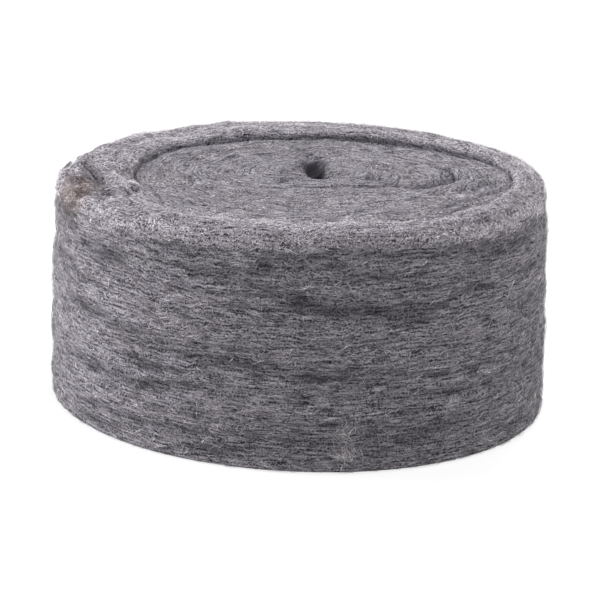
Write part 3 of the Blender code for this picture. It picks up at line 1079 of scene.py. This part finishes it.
@dataclass(frozen=True)
class BodyFinish:
    """The deeper wool seen between the fibres: streaked, darker steel, brown on the left fold.

    Args:
        name: The material's name.
        deep: Colour of the streaks' dark gaps, and of the painted shade in the hollows.
        raised: Colour of the bundles.
        stain: What the rust leaves of the wool's red, green and blue.
        stain_most: How much of that the middle of the stain shows.
        roughness: How dull the little sheen is.
        specular: How strong it is.
        streaks: Streaks in a metre along the ribbon, and across it.
        speckles: Speckles in a metre.
        speckle_share: How much the speckles count beside the streaks.
        contrast: The pattern's values that show the deep and the raised colour.
        relief: Height of the bump, in metres.
    """

    name: str = "deep_wool"
    deep: Triple = (0.018, 0.0165, 0.021)
    raised: Triple = (0.285, 0.270, 0.298)
    stain: Triple = (0.70, 0.47, 0.39)
    stain_most: float = 0.85
    roughness: float = 0.8
    specular: float = 0.05
    streaks: Span = (120.0, 1300.0)
    speckles: float = 1500.0
    speckle_share: float = 0.45
    contrast: Span = (0.42, 0.60)
    relief: float = 0.0006

    def material(self) -> bpy.types.Material:
        """Makes the material, with hardly any sheen, because light is lost between the fibres.

        Returns:
            A material whose streaks follow the ribbon on its map of lengths. Rust multiplies its
            colour on the fold, and painted shade in the hollows mixes it with the deep colour.
        """
        shine = {"Roughness": self.roughness, "Specular IOR Level": self.specular}
        made, tree, shader = new_material(self.name, shine)
        run = add_node(tree, "ShaderNodeUVMap", {}, uv_map=RUN_MAP)
        stretch = add_node(tree, "ShaderNodeMapping", {"Scale": (*self.streaks, 1)})
        streaks = add_node(tree, "ShaderNodeTexNoise", {"Scale": 1.0, "Detail": 4.0, "Roughness": 0.6})
        place = add_node(tree, "ShaderNodeTexCoord", {})
        speckle = add_node(tree, "ShaderNodeTexNoise", {"Scale": self.speckles, "Detail": 2.0})
        both = add_node(tree, "ShaderNodeMix", {"Factor": self.speckle_share}, data_type="FLOAT")
        spread = add_node(tree, "ShaderNodeValToRGB", {})
        colours = (self.deep, self.raised)
        for stop, position, colour in zip(spread.color_ramp.elements, self.contrast, colours):
            stop.position = position
            stop.color = (*colour, 1)
        spot = {"Location": STAIN_SPOT[0], "Scale": STAIN_SPOT[1]}
        centre = add_node(tree, "ShaderNodeMapping", spot, vector_type="TEXTURE")
        away = add_node(tree, "ShaderNodeVectorMath", {}, operation="LENGTH")
        limits = {"From Min": 1.35, "From Max": 0.20, "To Max": self.stain_most}
        fade = add_node(tree, "ShaderNodeMapRange", limits, interpolation_type="SMOOTHSTEP")
        rust, depth = {"B": (*self.stain, 1)}, {"B": (*self.deep, 1)}
        stained = add_node(tree, "ShaderNodeMix", rust, data_type="RGBA", blend_type="MULTIPLY")
        # Painted shade: the stored depth in the wool darkens the colour towards the deep colour.
        painted_shade = add_node(tree, "ShaderNodeAttribute", {}, attribute_name="painted_shade")
        shade_mix = add_node(tree, "ShaderNodeMix", depth, data_type="RGBA")
        bump = add_node(tree, "ShaderNodeBump", {"Distance": self.relief, "Strength": 0.8})
        links(
            tree,
            (run.outputs["UV"], stretch.inputs["Vector"]),
            (stretch.outputs["Vector"], streaks.inputs["Vector"]),
            (place.outputs["Object"], speckle.inputs["Vector"]),
            (streaks.outputs["Fac"], both.inputs["A"]),
            (speckle.outputs["Fac"], both.inputs["B"]),
            (both.outputs["Result"], spread.inputs["Fac"]),
            (place.outputs["Object"], centre.inputs["Vector"]),
            (centre.outputs["Vector"], away.inputs[0]),
            (away.outputs["Value"], fade.inputs["Value"]),
            (fade.outputs["Result"], stained.inputs["Factor"]),
            (spread.outputs["Color"], stained.inputs["A"]),
            (painted_shade.outputs["Fac"], shade_mix.inputs["Factor"]),
            (stained.outputs["Result"], shade_mix.inputs["A"]),
            (shade_mix.outputs["Result"], shader.inputs["Base Color"]),
            (both.outputs["Result"], bump.inputs["Height"]),
            (bump.outputs["Normal"], shader.inputs["Normal"]),
        )
        return made


@dataclass
class WoolBody:
    """The wound ribbon with its relief, which stands for the CAD ribbon."""

    surface: Surface
    finish: BodyFinish = field(default_factory=BodyFinish)

    FAN_EDGE = 0.01  # how much of the bake map's width each end's fan takes up
    CLOSING_STEP = 0.0006  # from the section's last column round to its first, on the map of lengths

    def build(self) -> bpy.types.Object:
        """Makes the closed mesh: the grid's cells as two triangles each, and a fan on each end.

        Returns:
            The dressed body, riding on the root.
        """
        points = self.surface.points
        rows, columns = points.shape[:2]
        row, column = np.meshgrid(np.arange(rows - 1), np.arange(columns), indexing="ij")
        turned = (column + 1) % columns
        a, b = row * columns + column, (row + 1) * columns + column
        c, d = (row + 1) * columns + turned, row * columns + turned
        cells = np.stack([np.stack([a, d, c], -1), np.stack([a, c, b], -1)], 2).reshape(-1, 3)
        ring = np.arange(columns)
        onward = (ring + 1) % columns
        first, last, end = rows * columns, rows * columns + 1, (rows - 1) * columns
        start_fan = np.stack([np.full(columns, first), onward, ring], -1)
        end_fan = np.stack([np.full(columns, last), end + ring, end + onward], -1)
        middles = np.stack([points[0].mean(0), points[-1].mean(0)])
        bake_map, run_map = self.maps(row, column)
        body = mesh_object(
            "wool_body",
            np.concatenate([points.reshape(-1, 3), middles]),
            np.concatenate([cells, start_fan, end_fan]),
            {BAKE_MAP: bake_map, RUN_MAP: run_map},
        )
        # Painted shade: how deep in the wool each point lies, stored for the body's colour.
        painted_shade = body.data.attributes.new("painted_shade", "FLOAT", "POINT")
        shade_values = np.append(np.maximum(self.surface.shade, 0), [0, 0])
        painted_shade.data.foreach_set("value", shade_values.astype(np.float32))
        body.data.materials.append(self.finish.material())
        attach(body, "root")
        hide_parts("wool_ribbon")
        LOG.info("wool body: %d triangles", len(body.data.polygons))
        return body

    def maps(self, row: np.ndarray, column: np.ndarray) -> Pair:
        """The body's two maps, over its cells and then over its two fans.

        Args:
            row: Row number of each cell.
            column: Column number of each cell.

        Returns:
            The bake map, which fills the unit square with a strip for each column and a sliver at
            each side for the fans, and the map of lengths in metres. They have one row for each
            corner of each triangle.
        """
        rows, columns = self.surface.points.shape[:2]
        length, around = self.surface.along[:, 0], self.surface.around
        closing = around[:, -1:] + self.CLOSING_STEP
        u = self.FAN_EDGE + (1 - 2 * self.FAN_EDGE) * np.arange(rows) / (rows - 1)
        bake = [self.cell_places(row, column, u, np.arange(columns + 1) / columns)]
        run = [self.cell_places(row, column, length, np.concatenate([around, closing], 1))]
        ring = np.arange(columns)
        for tip, edge, steps, where in (
            (0.0, self.FAN_EDGE, (1, 0), length[0]),
            (1.0, 1 - self.FAN_EDGE, (0, 1), length[-1]),
        ):
            corners = [(tip, 0.5), *((edge, step) for step in steps)]
            fan = [np.stack([np.full(columns, side), (ring + step) / columns], -1) for side, step in corners]
            bake.append(np.stack(fan, 1).reshape(-1, 2))
            run.append(np.stack([np.full(3 * columns, where), bake[-1][:, 1] * 0.1], -1))
        return np.concatenate(bake), np.concatenate(run)

    def cell_places(self, row: np.ndarray, column: np.ndarray, u: np.ndarray, v: np.ndarray) -> np.ndarray:
        """The map places of each cell's six triangle corners.

        Args:
            row: Row number of each cell.
            column: Column number of each cell.
            u: The map's first number at each row.
            v: The second at each column and one more, or at each row and column.

        Returns:
            One row (u, v) for each corner of each triangle, in the order of the cells' faces.
        """
        v = np.broadcast_to(v, (len(u), v.shape[-1]))

        def place(r: np.ndarray, c: np.ndarray) -> np.ndarray:
            """The place of one corner of each cell."""
            return np.stack([u[r], v[r, c]], -1)

        a, b = place(row, column), place(row + 1, column)
        c, d = place(row + 1, column + 1), place(row, column + 1)
        return np.stack([a, d, c, a, c, b], 2).reshape(-1, 2)


@dataclass
class FibreLayer:
    """A layer of fibres that lie on the wool in one zone.

    Args:
        name: The piece's name.
        zone: Where the fibres lie.
        count: How many there are.
        seed: Which run of random numbers to use.
        length: Shortest and longest fibre, in metres.
        radius: Thinnest and thickest fibre, in metres.
        slant: Spread of a fibre's direction from the winding, in degrees.
        upright: Mean angle from the winding, in degrees.
        waver: How much the direction swings along a fibre, in degrees.
        kink: Spread of the bends from one ring to the next, in degrees.
        lift: Lowest and highest a fibre lies over the wool, in metres.
        arch: How far the middle of a fibre rises, in metres.
        stray: How far one end of a fibre stands off, in metres.
        bunch: How many fibres share a wisp.
        segments: Rings along a fibre, with its two tips.
        brightness: How much lighter the layer is than most, from -1 to 1.
        finish: Its look.
    """

    name: str
    zone: Zone
    count: int
    seed: int
    length: Span = (0.003, 0.008)
    radius: Span = (0.00003, 0.00008)
    slant: float = 7
    upright: float = 0
    waver: float = 7
    kink: float = 6
    lift: Span = (-0.0001, 0.0005)
    arch: float = 0.0002
    stray: float = 0.0
    bunch: int = 1
    segments: int = 3
    brightness: float = 0.0
    finish: FibreFinish = field(default_factory=FibreFinish)

    SWAY = Ripple(0.05, 0.030, 0.0090, 61)  # how all fibres of a place lean together, in radians
    TONES = (  # how much lighter or darker the wool is from place to place
        Ripple(0.17, 0.040, 0.0034, 63),
        Ripple(0.22, 0.020, 0.0018, 60),
        Ripple(0.18, 0.006, 0.0008, 62),
    )
    SPREAD = 0.0005  # how far the fibres of a wisp lie to its sides, in metres
    HOLLOW_SHADE = 0.8  # painted shade: how much darker a fibre is in the deepest of the hollows

    def starts(self, ground: Ground, rng: np.random.Generator) -> Pair:
        """Where the wisps start: cells picked at random by their area, fewer in the hollows.

        Args:
            ground: The grid it lies on.
            rng: The layer's random numbers.

        Returns:
            Row and column numbers, with fractions, one for each wisp.
        """
        area = np.linalg.norm(np.cross(ground.step_along, ground.step_around), axis=-1)
        patches = Ripple(0.65, 0.018, 0.0026, 40 + self.seed)
        patchy = np.maximum(1 + patches.at(ground.along, ground.around), 0.25)
        patchy = patchy * (1 - 0.85 * np.minimum(ground.shade, 1))
        weight = (area * ground.zone_weight(self.zone) * patchy).ravel()
        total = np.cumsum(weight)
        wisps = -(-self.count // self.bunch)
        cell = np.searchsorted(total, rng.random(wisps) * total[-1])
        row, column = np.divmod(cell, ground.points.shape[1])
        return row + rng.random(wisps), column + rng.random(wisps) - 0.5

    def paths(self, ground: Ground) -> tuple[np.ndarray, np.ndarray, np.ndarray]:
        """The fibres' centre lines: steps over the surface in a direction that swings.

        Args:
            ground: The grid it lies on.

        Returns:
            The places, with fibres, rings and x, y, z, the surface's normals there, and how much
            lighter each fibre is than most: in layers, with painted shade in the hollows and painted light
            on ridges and the wall's top.
        """
        rng = np.random.default_rng(self.seed)
        upright, slant, waver, kink = np.radians((self.upright, self.slant, self.waver, self.kink))
        row, column = self.starts(ground, rng)
        wisps = len(row)
        lean = rng.normal(upright, slant, wisps)
        phase = rng.random(wisps) * FULL_TURN
        each = np.repeat(np.arange(wisps), self.bunch)[: self.count]
        row, column, lean, phase = row[each], column[each], lean[each], phase[each]
        lean = lean + rng.normal(0, slant * 0.5, self.count)
        phase = phase + rng.normal(0, 0.5, self.count)
        length = rng.uniform(*self.length, self.count)
        aside = rng.normal(0, self.SPREAD, self.count)
        ahead = rng.uniform(-0.5, 0.5, self.count) * length - length / 2
        rate = rng.uniform(0.6, 1.6, self.count)
        step = length / (self.segments - 1)
        row, column = ground.moved(row, column, ahead * np.cos(lean), aside + ahead * np.sin(lean))
        here = ground.sample(np.stack([ground.along, ground.around, ground.shade], -1), row, column)
        along, around, shade = np.moveaxis(here, -1, 0)
        lean = lean + self.SWAY.at(along, around)
        tone = sum(ripple.at(along, around) for ripple in self.TONES)
        places, outward, bend = [], [], np.zeros(self.count)
        rise = rng.uniform(*self.lift, self.count)
        arch = np.abs(rng.normal(0, self.arch, self.count))
        stray = np.abs(rng.normal(0, 1, self.count)) * self.stray * (rng.random(self.count) - 0.3)
        for ring in range(self.segments):
            share = ring / (self.segments - 1)
            normal = unit(ground.sample(ground.normal, row, column))
            up = rise + arch * math.sin(math.pi * share) + np.maximum(stray, 0) * share**2
            up = up + np.maximum(-stray, 0) * (1 - share) ** 2
            places.append(ground.sample(ground.points, row, column) + normal * up[:, None])
            outward.append(normal)
            bend = bend + rng.normal(0, kink, self.count)
            turn = lean + bend + waver * np.sin(phase + FULL_TURN * rate * share)
            row, column = ground.moved(row, column, step * np.cos(turn), step * np.sin(turn))
        # Painted shade darkens fibres in hollows, grooves and the core; a shade below 0 paints them lighter
        # on ridges and the wall's top.
        tone = tone + self.brightness - self.HOLLOW_SHADE * shade
        return np.stack(places, 1), np.stack(outward, 1), tone

    def build(self, ground: Ground) -> bpy.types.Object:
        """Makes the fibres: three-sided tubes with a point at each end.

        Args:
            ground: The grid it lies on.

        Returns:
            The dressed layer, riding on the root.
        """
        rng = np.random.default_rng(self.seed + 1000)
        line, outward, tone = self.paths(ground)
        line[..., 2] = np.maximum(line[..., 2], self.radius[1])
        count, rings = line.shape[:2]
        tangent = unit(np.gradient(line, axis=1))
        side = unit(np.cross(tangent, outward))
        up = np.cross(side, tangent)
        share = np.arange(rings) / (rings - 1)
        thick = rng.uniform(0, 1, count) ** 2 * (self.radius[1] - self.radius[0]) + self.radius[0]
        taper = np.sqrt(np.clip(np.sin(math.pi * np.clip(share, 0.04, 0.96)), 0, 1))
        radius = thick[:, None] * taper
        roll = rng.random(count)[:, None] * FULL_TURN
        corner = []
        for k in range(3):
            angle = roll + FULL_TURN * k / 3
            wide, tall = np.cos(angle) * radius, np.sin(angle) * radius
            corner.append(side * wide[..., None] + up * tall[..., None])
        tubes = line[:, 1:-1, None, :] + np.stack(corner, 2)[:, 1:-1]
        points = np.concatenate([tubes.reshape(count, -1, 3), line[:, :1], line[:, -1:]], 1)
        faces, places = self.pattern(rings - 2)
        base = (np.arange(count) * points.shape[1])[:, None, None]
        corners = (faces[None] + base).reshape(-1, 3)
        shade = np.clip(rng.beta(0.9, 1.55, count) * 0.95 + 0.02 + tone, 0.02, 0.98)
        lengthwise = np.broadcast_to(places[..., 0].ravel(), (count, 3 * len(places)))
        shades = shade[:, None] + places[..., 1].ravel() * 0.03
        places_on_map = np.stack([lengthwise, shades], -1).reshape(-1, 2)
        made = mesh_object(self.name, points.reshape(-1, 3), corners, {BAKE_MAP: places_on_map})
        made.data.materials.append(self.finish.material())
        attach(made, "root")
        LOG.info("%s: %d fibres, %d triangles", self.name, count, len(corners))
        return made

    def pattern(self, inner: int) -> Pair:
        """One fibre's triangles and their places on its map.

        Args:
            inner: How many three-point rings lie between the two tips.

        Returns:
            The vertex numbers of each triangle, and for each corner its share of the length and
            its place across the fibre, from -0.5 to 0.5.
        """
        first, last = 3 * inner, 3 * inner + 1
        faces, places = [], []

        def spot(ring: int, k: int) -> tuple[float, float]:
            """The place of ring corner k, with ring 0 the first full ring."""
            return (ring + 1) / (inner + 1), k / 3 - 0.5

        for k in range(3):
            m = (k + 1) % 3
            faces.append((first, m, k))
            places.append(((0.0, (k + 0.5) / 3 - 0.5), spot(0, k + 1), spot(0, k)))
            for ring in range(inner - 1):
                a, b = 3 * ring, 3 * (ring + 1)
                faces += [(a + k, a + m, b + m), (a + k, b + m, b + k)]
                places += [
                    (spot(ring, k), spot(ring, k + 1), spot(ring + 1, k + 1)),
                    (spot(ring, k), spot(ring + 1, k + 1), spot(ring + 1, k)),
                ]
            a = 3 * (inner - 1)
            faces.append((last, a + k, a + m))
            places.append(((1.0, (k + 0.5) / 3 - 0.5), spot(inner - 1, k), spot(inner - 1, k + 1)))
        return np.array(faces), np.array(places)


@dataclass
class Stage:
    """The pale floor, the soft lights and the camera at the photograph's angle.

    Args:
        floor_side: Side of the square floor, in metres.
        floor_glow: How much of its white the camera sees without shadow.
        camera_place: Where the camera stands.
        camera_aim: The point it looks at.
        camera_lens: Focal length in mm for a sensor 36 mm wide.
        camera_roll: How far the camera is tipped about its own axis, in radians.
        ambient: Strength of the world's light on dull surfaces.
    """

    floor_side: float = 12.0
    floor_glow: float = 0.8
    camera_place: Triple = (-0.0004, -0.988, 0.3259)
    camera_aim: Triple = (-0.0004, 0.0, 0.0374)
    camera_lens: float = 156.41
    camera_roll: float = math.radians(2.58)
    ambient: float = 0.098

    def build(self) -> None:
        """Sets up the floor, the world, the lamps and the camera."""
        self.floor()
        self.world()
        self.lamp("key_softbox", (-1.30, 0.10, 0.42), 0.7, 36.0)
        self.lamp("top_softbox", (0.20, -0.52, 1.15), 0.8, 14.8)
        self.lamp("right_softbox", (1.25, 0.62, 0.50), 0.7, 7.4)
        self.lamp("rear_softbox", (0.20, 0.90, 1.10), 0.7, 15.5)
        self.camera()

    def white_to_rays(self, tree: bpy.types.NodeTree) -> bpy.types.NodeSocket:
        """Adds the nodes that tell some rays from the others.

        Args:
            tree: What they are added to.

        Returns:
            A socket that gives 1 for camera, glossy and transmission rays and 0 for the others.
        """
        path = tree.nodes.new("ShaderNodeLightPath")
        either = add_node(tree, "ShaderNodeMath", {}, operation="MAXIMUM")
        any_of = add_node(tree, "ShaderNodeMath", {}, operation="MAXIMUM")
        links(
            tree,
            (path.outputs["Is Camera Ray"], either.inputs[0]),
            (path.outputs["Is Glossy Ray"], either.inputs[1]),
            (either.outputs[0], any_of.inputs[0]),
            (path.outputs["Is Transmission Ray"], any_of.inputs[1]),
        )
        return any_of.outputs[0]

    def floor(self) -> None:
        """A white floor that keeps a faint shadow."""
        half, below = self.floor_side / 2, -0.0002
        square = [(-half, -half, below), (half, -half, below), (half, half, below), (-half, half, below)]
        floor = mesh_object("floor", np.array(square), np.array([(0, 1, 2), (0, 2, 3)]), {})
        paint, tree, shader = new_material(
            "white_floor", {"Base Color": (0.86, 0.86, 0.86, 1), "Roughness": 0.9, "Specular IOR Level": 0.1}
        )
        glow = add_node(tree, "ShaderNodeEmission", {})
        part = add_node(tree, "ShaderNodeMath", {1: self.floor_glow}, operation="MULTIPLY")
        mix = add_node(tree, "ShaderNodeMixShader", {})
        links(
            tree,
            (self.white_to_rays(tree), part.inputs[0]),
            (part.outputs[0], mix.inputs["Fac"]),
            (shader.outputs["BSDF"], mix.inputs[1]),
            (glow.outputs["Emission"], mix.inputs[2]),
            (mix.outputs["Shader"], tree.nodes["Material Output"].inputs["Surface"]),
        )
        floor.data.materials.append(paint)

    def world(self) -> None:
        """White to the camera and to reflections, and a plain soft light on everything else."""
        world = bpy.data.worlds.new("studio")
        world.use_nodes = True
        tree = world.node_tree
        shader = tree.nodes["Background"]
        shader.inputs["Color"].default_value = (1, 1, 1, 1)
        strength = add_node(tree, "ShaderNodeMapRange", {"To Min": self.ambient, "To Max": 1.0})
        links(
            tree,
            (self.white_to_rays(tree), strength.inputs["Value"]),
            (strength.outputs["Result"], shader.inputs["Strength"]),
        )
        bpy.context.scene.world = world

    def lamp(self, name: str, place: Triple, size: float, power: float) -> None:
        """A square softbox that faces the roll.

        Args:
            name: The lamp's name.
            place: Where it hangs, in metres.
            size: Its side, in metres.
            power: Its power, in watts.
        """
        data = bpy.data.lights.new(name, "AREA")
        data.size = size
        data.energy = power
        made = bpy.data.objects.new(name, data)
        bpy.context.scene.collection.objects.link(made)
        facing = Vector((0, 0, 0.05)) - Vector(place)
        made.matrix_world = Matrix.Translation(place) @ facing.to_track_quat("-Z", "Y").to_matrix().to_4x4()

    def camera(self) -> None:
        """The camera, tipped as the photograph's was."""
        data = bpy.data.cameras.new("photo_camera")
        data.lens = self.camera_lens
        made = bpy.data.objects.new("photo_camera", data)
        bpy.context.scene.collection.objects.link(made)
        place = Vector(self.camera_place)
        turned = (Vector(self.camera_aim) - place).to_track_quat("-Z", "Y").to_matrix().to_4x4()
        made.matrix_world = Matrix.Translation(place) @ turned @ Matrix.Rotation(self.camera_roll, 4, "Z")
        bpy.context.scene.camera = made


def fibre_layers() -> list[FibreLayer]:
    """All the wool's fibres.

    Returns:
        The layers in the order in which they are built.
    """
    stained = FibreFinish("stained_fibre", (0.06, 0.040, 0.036), (0.46, 0.375, 0.365), 0.45, 0.5)
    # The glint fibres' near-white colour is partly painted highlight, besides the real reflection of their
    # metal.
    glint = FibreFinish("glint_fibre", (0.35, 0.33, 0.35), (1.0, 0.96, 1.0), 0.28, 0.8)
    bright, thick, fine = (0.00004, 0.00011), (0.00004, 0.00010), (0.00004, 0.00006)
    low, proud = (0.0002, 0.0006), (0.0004, 0.0008)
    return [
        FibreLayer("wall_fibres", Zone.WALL, 15500, 1, slant=9, bunch=2, segments=4, brightness=-0.12),
        FibreLayer("wall_strands", Zone.WALL, 15500, 2, slant=20, kink=14, segments=4, brightness=-0.12),
        FibreLayer("wall_glints", Zone.WALL, 7500, 8, (0.0006, 0.0020), slant=35, lift=(0.0002, 0.0007),
                   finish=glint),
        FibreLayer("wall_wisps", Zone.WALL, 2600, 11, (0.0025, 0.0060), fine, 26, kink=26, lift=proud,
                   segments=4, finish=glint),
        FibreLayer("tuft_fibres", Zone.TUFT, 260, 13, (0.0020, 0.0050), fine, 38, 80, lift=(0.0005, 0.0010),
                   bunch=3, segments=4, brightness=0.1, finish=glint),
        # Painted light: the rim's fibres are lighter, so that the rim and the last turn's top look lit.
        FibreLayer("rim_fibres", Zone.RIM, 14500, 3, (0.0010, 0.0034), thick, 45, brightness=0.32),
        FibreLayer("rim_glints", Zone.RIM, 9500, 9, (0.0006, 0.0016), bright, 70, lift=low, finish=glint),
        FibreLayer("middle_fibres", Zone.MIDDLE, 18000, 7, (0.0010, 0.0028), thick, 70, 90,
                   brightness=-0.10),
        FibreLayer("middle_glints", Zone.MIDDLE, 9500, 10, (0.0006, 0.0015), bright, 70, 90, lift=low,
                   finish=glint),
        FibreLayer("middle_wisps", Zone.MIDDLE, 500, 12, (0.0020, 0.0050), fine, 80, 90, kink=26,
                   lift=proud, segments=4, finish=glint),
        FibreLayer("tail_fibres", Zone.TAIL, 2300, 4, (0.0010, 0.0035), slant=55, upright=45, finish=stained),
        FibreLayer("loose_fibres", Zone.WALL, 600, 5, (0.003, 0.006), (0.00003, 0.00005), 30, kink=16,
                   stray=0.0010, segments=5),
        FibreLayer("underside_fibres", Zone.UNDERSIDE, 1200, 6, lift=(0.0, 0.0), arch=0.0, bunch=2,
                   segments=4),
    ]  # fmt: skip


def main() -> None:
    """Builds the stage and the pieces in order."""
    logging.basicConfig(level=logging.INFO, format="%(name)s: %(message)s")
    scene = bpy.context.scene
    scene.view_settings.view_transform = "Standard"
    Stage().build()
    surface, skin = Surface(), TopSkin()
    WoolBody(surface).build()
    for layer in fibre_layers():
        layer.build(skin if layer.zone is Zone.MIDDLE else surface)


if __name__ == "__main__":
    main()
